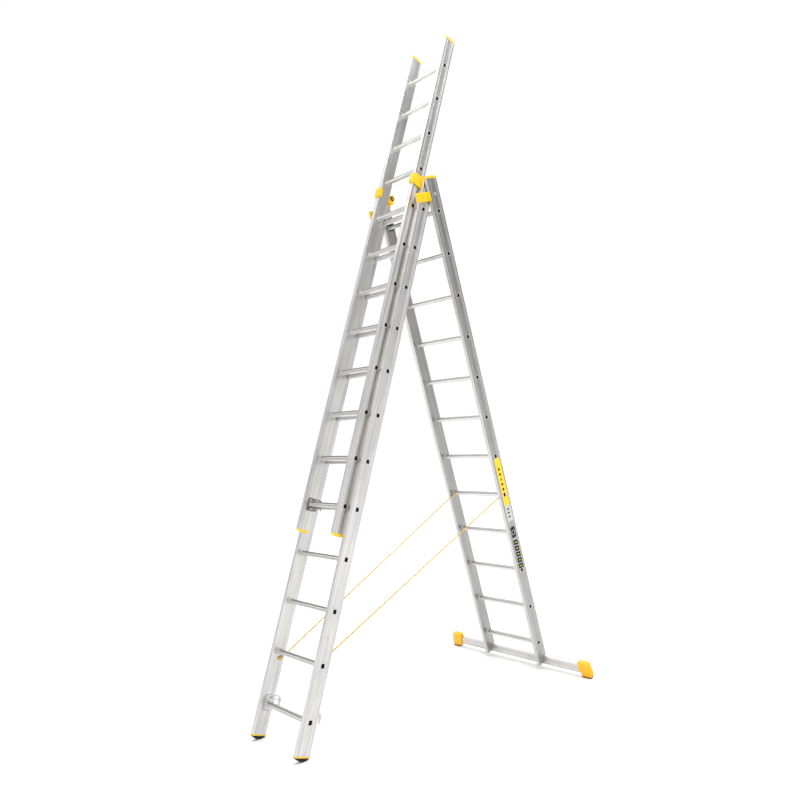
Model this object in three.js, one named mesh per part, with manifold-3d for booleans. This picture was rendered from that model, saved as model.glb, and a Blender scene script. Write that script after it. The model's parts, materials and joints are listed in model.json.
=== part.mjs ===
// A three-section combination ladder in aluminium, standing as an A-frame with its top
// section slid up past the hinge. Millimetres, +Z up, X across the rungs, climbing side
// towards -Y. The origin is on the ground, at the middle of the footprint.
//
// Every section is modelled in its own frame: x across, y towards the rear, z up the
// stiles, with the centre of its lowest rung at the origin.
import * as THREE from 'three';
import { mergeVertices } from 'three/addons/utils/BufferGeometryUtils.js';
import Module from 'manifold-3d';

// Stance
const OPENING_DEG = 35.4;
const EXTENDED_RUNGS = 4;

// Rungs
const RUNG_COUNT = 12;
const RUNG_PITCH = 280;
const RUNG_DEPTH = 26;
const RUNG_HEIGHT = 28;
const RUNG_WALL = 2;
const RUNG_CORNER = 4;

// Stiles
const CLEAR_WIDTH = 302;
const STILE_THICKNESS = 25;
const STILE_DEPTH = 89;
const BASE_STILE_DEPTH = 95;
const STILE_WALL = 1.8;
const STILE_CHAMFER = 2.5;
const WEB_BAND = 14;
const WEB_RECESS = 1.2;
const MIDDLE_STILE_ABOVE = 210;
const CAPPED_STILE_ABOVE = 230;
const TOP_STILE_BELOW = 160;
const MIDDLE_STILE_BELOW = 162;
const BASE_STILE_BELOW = 159;

// How the sections nest
const TOP_SIDE_GAP = 15;
const BASE_SIDE_GAP = 5;
const NEST_CLEARANCE = 1;
const FIT_GAP = 0.3;
const SLIDE_GAP = 0.6;

// Hinge at the head of the A-frame
const PIVOT_ABOVE_TOP_RUNG = 99;
const HINGE_STEP = 8;
const PIN_RADIUS = 8;
const PIN_HEAD_RADIUS = 12;
const PIN_HEAD_LENGTH = 6;
const PIN_CLEARANCE = 0.6;
const ARM_BELOW_PIVOT = 20;
const ARM_HEIGHT = 60;
const ARM_REAR = 50;
const ARM_REACH = 132;
const ARM_THICKNESS = 12;
const ARM_CORNER = 6;
const ARM_INSET = 1;
const FLANGE_PAD_DEPTH = 8;
const PIN_SIDES = 24;

// Guides at the head of the middle section
const GUIDE_BELOW_TOP = 75;
const GUIDE_CAP_HEIGHT = 13;
const GUIDE_WALL = 9.4;
const GUIDE_SLOPE = 20;
const GUIDE_BLOCK_DEPTH = 41;
const GUIDE_BLOCK_RISE = 18;
const GUIDE_BLOCK_RADIUS = 20;
const GUIDE_RETURN_DEPTH = 28;
const GUIDE_RETURN_WALL = 7.4;
const GUIDE_CORNER = 6;

// Rung hooks and their catches
const HOOK_PLATE = 5.3;
const HOOK_LIFT = 3.4;
const HOOK_SEAT_GAP = 0.5;
const HOOK_RISE = 25;
const HOOK_SHOULDER = 16;
const HOOK_TIP = 15;
const HOOK_TIP_DROP = 30;
const HOOK_TIP_POINT = 6;
const HOOK_RUNG_PLAY = 1.5;
const HOOK_FRONT = 20;
const HOOK_BELOW = 41;
const HOOK_FOOT_CHAMFER = 9;
const CATCH_PLATE = 6;
const CATCH_PIVOT_DROP = 28;
const CATCH_RADIUS = 11;
const CATCH_REACH = 50;
const CATCH_TOP_GAP = 4;
const CATCH_NOSE_RISE = 2;
const CATCH_NOSE_CHAMFER = 8;
const CATCH_HUB_SIDES = 20;

// Feet of the middle section
const FOOT_LINER = 6;
const SOLE_DEPTH = 19;
const FOOT_PLUG = 30;
const SOLE_STEPS = 16;

// Stabiliser bar across the foot of the base section
const BAR_HEIGHT = 55;
const BAR_DEPTH = 25;
const BAR_WALL = 2;
const BAR_CORNER = 4;
const BAR_DROP = 147.5;
const BAR_REAR = 20.5;
const BAR_NOTCH_GAP = 0.5;
const BOOT_INNER = 530;
const BOOT_OUTER = 621;
const BOOT_RISE = 26;
const BOOT_WALL = 8;
const BOOT_HEAD_TAPER = 14;
const BOOT_WAIST_RISE = 12;
const BOOT_SOLE_CHAMFER = 10;
const BOOT_SOLE_INSET = 18;
const BAR_IN_BOOT = 50;

// Spreader ropes
const ROPE_DIAMETER = 8;
const ROPE_SIDES = 8;
const ROPE_STEPS = 72;
const ROPE_STILE_GAP = 7;
const ROPE_FRONT_UP_LEFT = 247;
const ROPE_FRONT_UP_RIGHT = 308;
const ROPE_REAR_UP = 1111;
const ROPE_INTO_SECTION = 20;

// How far a cutter runs past the faces that it cuts through
const CUT_OVERRUN = 1;

// Sizes that follow from the ones above
const lean = THREE.MathUtils.degToRad(OPENING_DEG / 2);
const nestOffset = STILE_DEPTH / 2 + RUNG_DEPTH / 2 + NEST_CLEARANCE;
const topRung = (RUNG_COUNT - 1) * RUNG_PITCH;
const stileTop = topRung + MIDDLE_STILE_ABOVE;
const cappedStileTop = topRung + CAPPED_STILE_ABOVE;
const middlePivotUp = topRung + PIVOT_ABOVE_TOP_RUNG;
const basePivotUp = middlePivotUp - HINGE_STEP;
const pivotForward = nestOffset / 2;
const topShift = EXTENDED_RUNGS * RUNG_PITCH + HOOK_LIFT;

const topInner = CLEAR_WIDTH / 2;
const topOuter = topInner + STILE_THICKNESS;
const middleInner = topOuter + TOP_SIDE_GAP;
const middleOuter = middleInner + STILE_THICKNESS;
const baseInner = middleOuter + BASE_SIDE_GAP;
const baseOuter = baseInner + STILE_THICKNESS;
const soleRadius = ((STILE_DEPTH / 2) ** 2 + SOLE_DEPTH ** 2) / (2 * SOLE_DEPTH);

const SIDES = [
  { name: 'left', sign: -1 },
  { name: 'right', sign: 1 },
];

const aluminium = { color: 0xb9bab8, roughness: 0.38, metalness: 0.9 };
const yellowPlastic = { color: 0xf5c21b, roughness: 0.45, metalness: 0 };
const blackRubber = { color: 0x1b1b1c, roughness: 0.85, metalness: 0 };
const zincSteel = { color: 0x8d9196, roughness: 0.4, metalness: 0.85 };
const ropeFibre = { color: 0xc9a437, roughness: 0.9, metalness: 0 };

const wasm = await Module();
wasm.setup();

function namedMesh(name, geometry, finish) {
  const mesh = new THREE.Mesh(geometry, new THREE.MeshStandardMaterial(finish));
  mesh.name = name;
  return mesh;
}

function toSolid(geometry) {
  geometry.deleteAttribute('normal');
  geometry.deleteAttribute('uv');
  const merged = mergeVertices(geometry);
  return new wasm.Manifold(new wasm.Mesh({
    numProp: 3,
    vertProperties: merged.attributes.position.array,
    triVerts: merged.index.array,
  }));
}

function toGeometry(solid) {
  const mesh = solid.getMesh();
  const geometry = new THREE.BufferGeometry();
  geometry.setAttribute('position', new THREE.BufferAttribute(mesh.vertProperties, 3));
  geometry.setIndex(new THREE.BufferAttribute(mesh.triVerts, 1));
  geometry.computeVertexNormals();
  return geometry;
}

function join(geometries) {
  return geometries.map(toSolid).reduce((whole, piece) => whole.add(piece));
}

function cut(solid, cutters) {
  return cutters.map(toSolid).reduce((whole, cutter) => whole.subtract(cutter), solid);
}

// A rectangle with its corners cut by arcs of the given number of segments.
function roundedRectangle(low, high, radius, segments) {
  const corners = [
    [high.x - radius, high.y - radius, 0],
    [low.x + radius, high.y - radius, 1],
    [low.x + radius, low.y + radius, 2],
    [high.x - radius, low.y + radius, 3],
  ];
  const points = [];
  for (const [x, y, quarter] of corners) {
    for (let step = 0; step <= segments; step += 1) {
      const angle = (quarter + step / segments) * Math.PI / 2;
      points.push(new THREE.Vector2(x + radius * Math.cos(angle), y + radius * Math.sin(angle)));
    }
  }
  return points;
}

function centredRectangle(width, height, radius, segments) {
  const half = new THREE.Vector2(width / 2, height / 2);
  return roundedRectangle(half.clone().negate(), half, radius, segments);
}

function circle(centre, radius, count) {
  const points = [];
  for (let step = 0; step < count; step += 1) {
    const angle = (step / count) * 2 * Math.PI;
    points.push(new THREE.Vector2(
      centre.x + radius * Math.cos(angle),
      centre.y + radius * Math.sin(angle),
    ));
  }
  return points;
}

// The outline is turned counter-clockwise first, so that its holes face the right way.
function extrude(points, depth, holes = []) {
  const clockwise = THREE.ShapeUtils.isClockWise(points);
  const shape = new THREE.Shape(clockwise ? [...points].reverse() : points);
  shape.holes = holes.map((hole) => new THREE.Path(hole));
  return new THREE.ExtrudeGeometry(shape, { depth, bevelEnabled: false, steps: 1 });
}

// Side-view outlines hold (y, z) points and are extruded across x.
const acrossX = new THREE.Matrix4().makeBasis(
  new THREE.Vector3(0, 1, 0),
  new THREE.Vector3(0, 0, 1),
  new THREE.Vector3(1, 0, 0),
);

function slab(profile, side, inner, outer, holes = []) {
  const geometry = extrude(profile, outer - inner, holes);
  geometry.applyMatrix4(acrossX);
  geometry.translate(side.sign > 0 ? inner : -outer, 0, 0);
  return geometry;
}

function outline(pairs) {
  return pairs.map(([y, z]) => new THREE.Vector2(y, z));
}

function rectangle(yLow, zLow, yHigh, zHigh) {
  return outline([[yLow, zLow], [yHigh, zLow], [yHigh, zHigh], [yLow, zHigh]]);
}

function shifted(points, y, z) {
  return points.map((point) => new THREE.Vector2(point.x + y, point.y + z));
}

function rungHeights() {
  return [...Array(RUNG_COUNT).keys()].map((index) => index * RUNG_PITCH);
}

function rungHole(height) {
  const size = 2 * FIT_GAP;
  const hole = centredRectangle(RUNG_DEPTH + size, RUNG_HEIGHT + size, RUNG_CORNER, 1);
  return shifted(hole, 0, height);
}

// Hollow stile with a shallow recess along the middle of its outer web.
function stileSection(side, inner, outer, depth) {
  const half = depth / 2;
  const web = outer - WEB_RECESS;
  const band = half - WEB_BAND;
  const right = [
    [inner, -half + STILE_CHAMFER], [inner + STILE_CHAMFER, -half],
    [outer - STILE_CHAMFER, -half], [outer, -half + STILE_CHAMFER],
    [outer, -band], [web, -band + WEB_RECESS],
    [web, band - WEB_RECESS], [outer, band],
    [outer, half - STILE_CHAMFER], [outer - STILE_CHAMFER, half],
    [inner + STILE_CHAMFER, half], [inner, half - STILE_CHAMFER],
  ];
  const cavity = [
    [inner + STILE_WALL, -half + STILE_WALL], [web - STILE_WALL, -half + STILE_WALL],
    [web - STILE_WALL, half - STILE_WALL], [inner + STILE_WALL, half - STILE_WALL],
  ];
  const onSide = (points) => points.map(([x, y]) => new THREE.Vector2(side.sign * x, y));
  return { wall: onSide(right), cavity: onSide(cavity) };
}

function stileSolid(side, inner, outer, depth, ends, cutters) {
  const section = stileSection(side, inner, outer, depth);
  const blank = extrude(section.wall, ends.top + ends.below, [section.cavity]);
  blank.translate(0, 0, -ends.below);
  const rungCutters = rungHeights().map(
    (height) => slab(rungHole(height), side, inner - CUT_OVERRUN, outer + CUT_OVERRUN),
  );
  return cut(toSolid(blank), [...rungCutters, ...cutters]);
}

function rung(outer) {
  const half = outer - WEB_RECESS;
  const wall = centredRectangle(RUNG_DEPTH, RUNG_HEIGHT, RUNG_CORNER, 1);
  const bore = centredRectangle(
    RUNG_DEPTH - 2 * RUNG_WALL,
    RUNG_HEIGHT - 2 * RUNG_WALL,
    RUNG_CORNER - RUNG_WALL,
    1,
  );
  return slab(wall, { sign: 1 }, -half, half, [bore]);
}

function addRungs(section, sectionName, outer) {
  rungHeights().forEach((height, index) => {
    const geometry = rung(outer);
    geometry.translate(0, 0, height);
    const number = String(index + 1).padStart(2, '0');
    section.add(namedMesh(`${sectionName}_rung_${number}`, geometry, aluminium));
  });
}

// A hook plate around a rung: its arm passes over the rung of the section behind and
// drops down at that rung's back.
function hookOutline(rungBehindUp) {
  const behindTop = rungBehindUp + RUNG_HEIGHT / 2 + HOOK_SEAT_GAP;
  const tipFront = nestOffset + RUNG_DEPTH / 2 + HOOK_RUNG_PLAY;
  const tipRear = tipFront + HOOK_TIP;
  const armTop = behindTop + HOOK_RISE;
  const seatFront = nestOffset - RUNG_DEPTH / 2 - HOOK_RUNG_PLAY;
  const tipBottom = behindTop - HOOK_TIP_DROP;
  return outline([
    [-HOOK_FRONT, -HOOK_BELOW], [-HOOK_FRONT, armTop],
    [tipRear - HOOK_SHOULDER, armTop], [tipRear, armTop - HOOK_SHOULDER],
    [tipRear, tipBottom], [tipRear - HOOK_TIP_POINT, tipBottom - HOOK_TIP_POINT],
    [tipFront, tipBottom], [tipFront, behindTop], [seatFront, behindTop],
    [seatFront, -HOOK_BELOW + HOOK_FOOT_CHAMFER], [seatFront - HOOK_FOOT_CHAMFER, -HOOK_BELOW],
  ]);
}

function addHooks(section, sectionName, stileInner, rungBehindUp) {
  for (const side of SIDES) {
    const outer = stileInner - FIT_GAP;
    const plate = hookOutline(rungBehindUp);
    const geometry = slab(plate, side, outer - HOOK_PLATE, outer, [rungHole(0)]);
    section.add(namedMesh(`${sectionName}_rung_hook_${side.name}`, geometry, zincSteel));
  }
}

// A pawl below the hooked rung: it turns down to let the rung out of the hook.
function addCatches(section) {
  const behindBottom = -HOOK_LIFT - RUNG_HEIGHT / 2;
  const noseTop = behindBottom - CATCH_TOP_GAP;
  const noseBottom = -CATCH_PIVOT_DROP - CATCH_RADIUS + CATCH_NOSE_RISE;
  const nose = outline([
    [0, noseBottom], [CATCH_REACH - CATCH_NOSE_CHAMFER, noseBottom],
    [CATCH_REACH, noseBottom + CATCH_NOSE_CHAMFER], [CATCH_REACH, noseTop], [0, noseTop],
  ]);
  const hubCentre = new THREE.Vector2(0, -CATCH_PIVOT_DROP);
  const hub = circle(hubCentre, CATCH_RADIUS, CATCH_HUB_SIDES);
  for (const side of SIDES) {
    const outer = topInner - FIT_GAP - HOOK_PLATE - FIT_GAP;
    const inner = outer - CATCH_PLATE;
    const solid = join([slab(hub, side, inner, outer), slab(nose, side, inner, outer)]);
    section.add(namedMesh(`hook_catch_${side.name}`, toGeometry(solid), zincSteel));
  }
}

function addFeet(section) {
  const half = STILE_DEPTH / 2;
  const soleTop = -MIDDLE_STILE_BELOW - FIT_GAP - FOOT_LINER;
  const reach = Math.asin(half / soleRadius);
  const centreUp = soleTop - SOLE_DEPTH + soleRadius;
  const foot = [
    new THREE.Vector2(half, soleTop + FOOT_LINER),
    new THREE.Vector2(-half, soleTop + FOOT_LINER),
  ];
  for (let step = 0; step <= SOLE_STEPS; step += 1) {
    const angle = -reach + (2 * reach * step) / SOLE_STEPS;
    foot.push(new THREE.Vector2(
      soleRadius * Math.sin(angle),
      centreUp - soleRadius * Math.cos(angle),
    ));
  }
  const cavityHalf = half - STILE_WALL - FIT_GAP;
  const plugTop = -MIDDLE_STILE_BELOW + FOOT_PLUG;
  const plug = rectangle(-cavityHalf, soleTop, cavityHalf, plugTop);
  for (const side of SIDES) {
    const plugInner = middleInner + STILE_WALL + FIT_GAP;
    const plugOuter = middleOuter - WEB_RECESS - STILE_WALL - FIT_GAP;
    const solid = join([
      slab(foot, side, middleInner, middleOuter),
      slab(plug, side, plugInner, plugOuter),
    ]);
    section.add(namedMesh(`front_foot_${side.name}`, toGeometry(solid), blackRubber));
  }
}

// Moulded guide on the head of each middle stile. It caps the stile, backs the top
// section's stile, runs past its outer face and wraps round its front edge.
function addGuides(section) {
  const stileHalf = STILE_DEPTH / 2;
  const bottom = stileTop - GUIDE_BELOW_TOP;
  const top = stileTop + FIT_GAP + GUIDE_CAP_HEIGHT;
  const blockFront = -(nestOffset - stileHalf - SLIDE_GAP);
  const blockRear = blockFront + GUIDE_BLOCK_DEPTH;
  const stileFront = -(nestOffset + stileHalf + SLIDE_GAP);
  const lipFront = stileFront - GUIDE_WALL;
  const lipBottom = bottom + GUIDE_SLOPE;
  const lipTop = top - GUIDE_CORNER;
  const wallInner = topOuter + SLIDE_GAP;
  const wallOuter = wallInner + GUIDE_WALL;
  const returnOuter = topInner - SLIDE_GAP;
  const returnInner = returnOuter - GUIDE_RETURN_WALL;
  const blockLow = new THREE.Vector2(blockFront, bottom + GUIDE_BLOCK_RISE);
  const blockHigh = new THREE.Vector2(blockRear, top);
  const block = roundedRectangle(blockLow, blockHigh, GUIDE_BLOCK_RADIUS, 5);
  const wall = outline([
    [blockFront + GUIDE_BLOCK_RADIUS, bottom], [blockFront + GUIDE_BLOCK_RADIUS, top],
    [lipFront + GUIDE_CORNER, top], [lipFront, lipTop], [lipFront, lipBottom],
  ]);
  const lip = rectangle(lipFront, lipBottom, stileFront, lipTop);
  const inwardReturn = rectangle(lipFront, lipBottom, lipFront + GUIDE_RETURN_DEPTH, lipTop);
  const cap = rectangle(-stileHalf, stileTop + FIT_GAP, stileHalf, top);
  for (const side of SIDES) {
    const solid = join([
      slab(block, side, returnInner, middleInner - FIT_GAP),
      slab(wall, side, wallInner, wallOuter),
      slab(lip, side, returnInner, wallOuter),
      slab(inwardReturn, side, returnInner, returnOuter),
      slab(cap, side, middleInner - 2 * FIT_GAP, middleOuter),
    ]);
    section.add(namedMesh(`guide_bracket_${side.name}`, toGeometry(solid), yellowPlastic));
  }
}

// Moulded hinge arm on the head of each base stile. A thin cheek lies between the base
// and middle stiles and carries the pivot pin, and the arm reaches forward past the
// middle section.
function addHingeArms(section) {
  const bottom = basePivotUp - ARM_BELOW_PIVOT;
  const top = bottom + ARM_HEIGHT;
  const stileFront = -(BASE_STILE_DEPTH / 2 + FIT_GAP);
  const reach = -(pivotForward + ARM_REACH);
  const cheekInner = middleOuter + SLIDE_GAP;
  const cheekOuter = baseInner - FIT_GAP;
  const low = new THREE.Vector2(reach, bottom);
  const high = new THREE.Vector2(reach + ARM_REACH + ARM_REAR, top);
  const cheek = roundedRectangle(low, high, ARM_CORNER, 2);
  const armLow = bottom + ARM_INSET;
  const armHigh = top - ARM_INSET;
  const arm = rectangle(reach + ARM_INSET, armLow, stileFront, armHigh);
  const pad = rectangle(stileFront - FLANGE_PAD_DEPTH, armLow, stileFront, armHigh);
  const pivot = new THREE.Vector2(-pivotForward, basePivotUp);
  const pin = circle(pivot, PIN_RADIUS, PIN_SIDES);
  const pinHead = circle(pivot, PIN_HEAD_RADIUS, PIN_SIDES);
  const headOuter = middleInner - SLIDE_GAP;
  for (const side of SIDES) {
    const solid = join([
      slab(cheek, side, cheekInner, cheekOuter),
      slab(arm, side, cheekInner, cheekInner + ARM_THICKNESS),
      slab(pad, side, cheekInner, baseOuter),
      slab(pin, side, headOuter - PIN_HEAD_LENGTH / 2, cheekOuter),
      slab(pinHead, side, headOuter - PIN_HEAD_LENGTH, headOuter),
    ]);
    section.add(namedMesh(`hinge_arm_${side.name}`, toGeometry(solid), yellowPlastic));
  }
}

function barFrame() {
  return {
    front: BAR_REAR - BAR_DEPTH / 2,
    rear: BAR_REAR + BAR_DEPTH / 2,
    top: -BAR_DROP + BAR_HEIGHT / 2,
    bottom: -BAR_DROP - BAR_HEIGHT / 2,
  };
}

// The bar's section, grown on every side.
function barSection(growth, corner) {
  const depth = BAR_DEPTH + 2 * growth;
  const height = BAR_HEIGHT + 2 * growth;
  return shifted(centredRectangle(depth, height, corner, 2), BAR_REAR, -BAR_DROP);
}

function addStabiliserBar(section) {
  const half = BOOT_INNER + BAR_IN_BOOT;
  const wall = barSection(0, BAR_CORNER);
  const bore = barSection(-BAR_WALL, BAR_CORNER - BAR_WALL);
  const geometry = slab(wall, { sign: 1 }, -half, half, [bore]);
  section.add(namedMesh('stabiliser_bar', geometry, aluminium));
}

// Moulded boot on each end of the bar. Its front lower edge meets the ground.
function addBoots(section, groundUp) {
  const bar = barFrame();
  const front = bar.front - BOOT_WALL;
  const rear = bar.rear + BOOT_WALL;
  const top = bar.top + BOOT_RISE;
  const waist = bar.bottom + BOOT_WAIST_RISE;
  const bottom = groundUp(front);
  const soleInner = BOOT_INNER + BOOT_SOLE_INSET;
  const face = (sign) => outline([
    [sign * BOOT_INNER, top], [sign * (BOOT_OUTER - BOOT_HEAD_TAPER), top],
    [sign * BOOT_OUTER, waist], [sign * BOOT_OUTER, bottom + BOOT_SOLE_CHAMFER],
    [sign * (BOOT_OUTER - BOOT_SOLE_CHAMFER), bottom],
    [sign * (soleInner + BOOT_SOLE_CHAMFER), bottom],
    [sign * soleInner, bottom + BOOT_SOLE_CHAMFER],
    [sign * soleInner, waist], [sign * BOOT_INNER, waist],
  ]);
  const upright = new THREE.Matrix4().makeBasis(
    new THREE.Vector3(1, 0, 0),
    new THREE.Vector3(0, 0, 1),
    new THREE.Vector3(0, -1, 0),
  );
  for (const side of SIDES) {
    const block = extrude(face(side.sign), rear - front);
    block.applyMatrix4(upright);
    block.translate(0, rear, 0);
    const socketEnd = BOOT_INNER + BAR_IN_BOOT + FIT_GAP;
    const socket = slab(
      barSection(FIT_GAP, BAR_CORNER), side, BOOT_INNER - CUT_OVERRUN, socketEnd,
    );
    const solid = cut(toSolid(block), [socket]);
    section.add(namedMesh(`stabiliser_boot_${side.name}`, toGeometry(solid), yellowPlastic));
  }
}

function topSection() {
  const section = new THREE.Group();
  const ends = { top: cappedStileTop, below: TOP_STILE_BELOW };
  for (const side of SIDES) {
    const solid = stileSolid(side, topInner, topOuter, STILE_DEPTH, ends, []);
    section.add(namedMesh(`top_stile_${side.name}`, toGeometry(solid), aluminium));
  }
  addRungs(section, 'top', topOuter);
  addHooks(section, 'top', topInner, -HOOK_LIFT);
  addCatches(section);
  section.position.set(0, -nestOffset, topShift);
  return section;
}

function middleSection() {
  const section = new THREE.Group();
  const pinHole = circle(
    new THREE.Vector2(pivotForward, middlePivotUp),
    PIN_RADIUS + PIN_CLEARANCE,
    PIN_SIDES,
  );
  for (const side of SIDES) {
    const cutter = slab(
      pinHole, side, middleInner - CUT_OVERRUN, middleOuter + CUT_OVERRUN,
    );
    const ends = { top: stileTop, below: MIDDLE_STILE_BELOW };
    const solid = stileSolid(side, middleInner, middleOuter, STILE_DEPTH, ends, [cutter]);
    section.add(namedMesh(`middle_stile_${side.name}`, toGeometry(solid), aluminium));
  }
  addRungs(section, 'middle', middleOuter);
  addHooks(section, 'middle', middleInner, HINGE_STEP);
  addFeet(section);
  addGuides(section);
  return section;
}

function baseSection(groundUp) {
  const section = new THREE.Group();
  const bar = barFrame();
  const notch = rectangle(
    bar.front - BAR_NOTCH_GAP, -BASE_STILE_BELOW - CUT_OVERRUN,
    BASE_STILE_DEPTH / 2 + CUT_OVERRUN, bar.top + BAR_NOTCH_GAP,
  );
  for (const side of SIDES) {
    const cutter = slab(notch, side, baseInner - CUT_OVERRUN, baseOuter + CUT_OVERRUN);
    const ends = { top: cappedStileTop, below: BASE_STILE_BELOW };
    const solid = stileSolid(side, baseInner, baseOuter, BASE_STILE_DEPTH, ends, [cutter]);
    section.add(namedMesh(`base_stile_${side.name}`, toGeometry(solid), aluminium));
  }
  addRungs(section, 'base', baseOuter);
  addStabiliserBar(section);
  addBoots(section, groundUp);
  addHingeArms(section);
  return section;
}

// A leg turns about the hinge axis: its section hangs from the pivot point.
function leg(section, angle, pivotRear, pivotUp) {
  const frame = new THREE.Group();
  frame.rotation.x = angle;
  section.position.set(0, -pivotRear, -pivotUp);
  frame.add(section);
  return frame;
}

// Height, below the hinge axis, of the lowest point of the middle section's feet.
function frontFootDrop() {
  const soleBottom = MIDDLE_STILE_BELOW + FIT_GAP + FOOT_LINER + SOLE_DEPTH;
  const centre = middlePivotUp + soleBottom - soleRadius;
  return centre * Math.cos(lean) - pivotForward * Math.sin(lean) + soleRadius;
}

// Height up the base section of the ground, at a distance rear of its rung plane.
function groundOnBase(rear) {
  const fall = frontFootDrop() - (rear + pivotForward) * -Math.sin(lean);
  return basePivotUp - fall / Math.cos(lean);
}

function addRopes(ladder) {
  const turn = (angle, rear, up) => new THREE.Vector3(
    0,
    rear * Math.cos(angle) - up * Math.sin(angle),
    rear * Math.sin(angle) + up * Math.cos(angle),
  );
  for (const side of SIDES) {
    const frontUp = side.sign > 0 ? ROPE_FRONT_UP_RIGHT : ROPE_FRONT_UP_LEFT;
    const front = turn(-lean, ROPE_INTO_SECTION - pivotForward, frontUp - middlePivotUp);
    const rear = turn(lean, pivotForward - ROPE_INTO_SECTION, ROPE_REAR_UP - basePivotUp);
    front.x = side.sign * (middleInner - ROPE_STILE_GAP);
    rear.x = side.sign * (baseInner - ROPE_STILE_GAP);
    const route = new THREE.LineCurve3(front, rear);
    const section = new THREE.Shape(circle(new THREE.Vector2(), ROPE_DIAMETER / 2, ROPE_SIDES));
    const geometry = new THREE.ExtrudeGeometry(section, {
      extrudePath: route,
      steps: ROPE_STEPS,
      bevelEnabled: false,
    });
    ladder.add(namedMesh(`spreader_rope_${side.name}`, geometry, ropeFibre));
  }
}

function buildLadder() {
  const ladder = new THREE.Group();
  const upper = middleSection();
  upper.add(topSection());
  ladder.add(leg(upper, -lean, pivotForward, middlePivotUp));
  ladder.add(leg(baseSection(groundOnBase), lean, -pivotForward, basePivotUp));
  addRopes(ladder);
  return ladder;
}

const ladder = buildLadder();
ladder.updateMatrixWorld(true);
const box = new THREE.Box3().setFromObject(ladder, true);
const centre = box.getCenter(new THREE.Vector3());
ladder.position.set(-centre.x, -centre.y, -box.min.z);

export default ladder;
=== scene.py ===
"""Looks for a three-section combination ladder that stands as an A-frame.

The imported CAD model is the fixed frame. Each section is dressed in a frame of its own: x across
the rungs, y towards the section's rear, z up its stiles, from the centre of its lowest rung.
Sizes are in metres.
"""

import json
import math

import bmesh
import bpy
from mathutils import Matrix, Vector


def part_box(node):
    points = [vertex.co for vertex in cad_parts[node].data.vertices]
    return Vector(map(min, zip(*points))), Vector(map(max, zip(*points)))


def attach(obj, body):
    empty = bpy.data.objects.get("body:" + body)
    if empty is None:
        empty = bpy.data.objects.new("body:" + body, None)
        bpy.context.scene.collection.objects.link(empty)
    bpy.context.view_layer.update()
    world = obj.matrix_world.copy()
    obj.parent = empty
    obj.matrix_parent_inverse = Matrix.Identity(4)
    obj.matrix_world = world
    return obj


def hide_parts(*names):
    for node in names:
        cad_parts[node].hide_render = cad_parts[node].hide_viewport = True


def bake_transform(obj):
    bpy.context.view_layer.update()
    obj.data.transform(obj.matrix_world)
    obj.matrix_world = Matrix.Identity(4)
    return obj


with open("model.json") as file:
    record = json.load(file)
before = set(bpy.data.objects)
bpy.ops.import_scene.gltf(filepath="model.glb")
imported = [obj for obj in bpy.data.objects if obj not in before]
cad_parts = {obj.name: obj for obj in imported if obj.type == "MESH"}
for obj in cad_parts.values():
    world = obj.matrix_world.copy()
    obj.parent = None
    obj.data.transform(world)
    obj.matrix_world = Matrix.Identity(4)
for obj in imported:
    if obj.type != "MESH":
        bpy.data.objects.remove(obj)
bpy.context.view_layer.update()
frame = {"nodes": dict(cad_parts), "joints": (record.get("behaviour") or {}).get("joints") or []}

# Camera, at the photograph's viewing angle
CAMERA_AZIMUTH = math.radians(46.09)
CAMERA_ELEVATION = math.radians(-4.14)
CAMERA_ROLL = math.radians(-1.21)
CAMERA_DISTANCE = 4.457
CAMERA_AIM = Vector((0, -0.0975, 1.9012))
CAMERA_LENS = 30.97

# Spreader ropes: the front and rear ends of each taut rope
ROPE_ROUTES = {
    "right": [Vector((0.184, -0.88338, 0.46869)), Vector((0.214, 0.63344, 1.24130))],
    "left": [Vector((-0.184, -0.90193, 0.41058)), Vector((-0.214, 0.63344, 1.24130))],
}
ROPE_DIAMETER = 0.008
ROPE_STRANDS = 3
ROPE_LAY = 0.045
ROPE_SIDES = 24
ROPE_RINGS_PER_LAY = 12
EYE_RADIUS = 0.0085
EYE_WIRE = 0.0022
EYE_SHANK_GAP = 0.0015
KNOT_SIZE = 0.0065
KNOT_SCALE = KNOT_SIZE / 2.4
KNOT_STRETCH = 1.2
KNOT_ROPE = 0.0034

# Stile profile
WEB_RECESS = 0.0012
WEB_BAND = 0.014
STILE_WALL = 0.0018
STILE_ROUND = 0.0026
RIB_HEIGHT = 0.0006
RIB_WIDTH = 0.0016
RIB_PITCH = 0.0045
GROOVE_DEPTH = 0.0004
GROOVE_WIDTH = 0.0018
CUT_OVERRUN = 0.01

# Rungs
RUNG_COUNT = 12
RUNG_DEPTH = 0.026
RUNG_HEIGHT = 0.028
HALF_DEPTH = RUNG_DEPTH / 2
HALF_HEIGHT = RUNG_HEIGHT / 2
RUNG_WALL = 0.002
RUNG_ROUND = 0.0042
RUNG_PLAY = 0.0003
TREAD_PITCH = 0.0036
TREAD_DEPTH = 0.0008
TREAD_FLOOR = 0.14
LIP_HEIGHT = 0.008
LIP_SLOPE = 0.07
UNDERCUT = 0.2
COLLAR_REACH = 0.009
COLLAR_SWELL = 0.0017
FLARE = 0.0018
FLARE_THICKNESS = 0.0009

# End caps and feet
CAP_HEIGHT = 0.018
CAP_RIM = 0.0125
CAP_SKIRT = 0.0004
LINER_HEIGHT = 0.0066
SOLE_TREADS = 9
TREAD_CUT = 0.0016
BAR_WALL = 0.002
BOOT_PAD = 0.010
BOOT_INSET = 0.018
RIB_EASE = 0.0006

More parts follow.
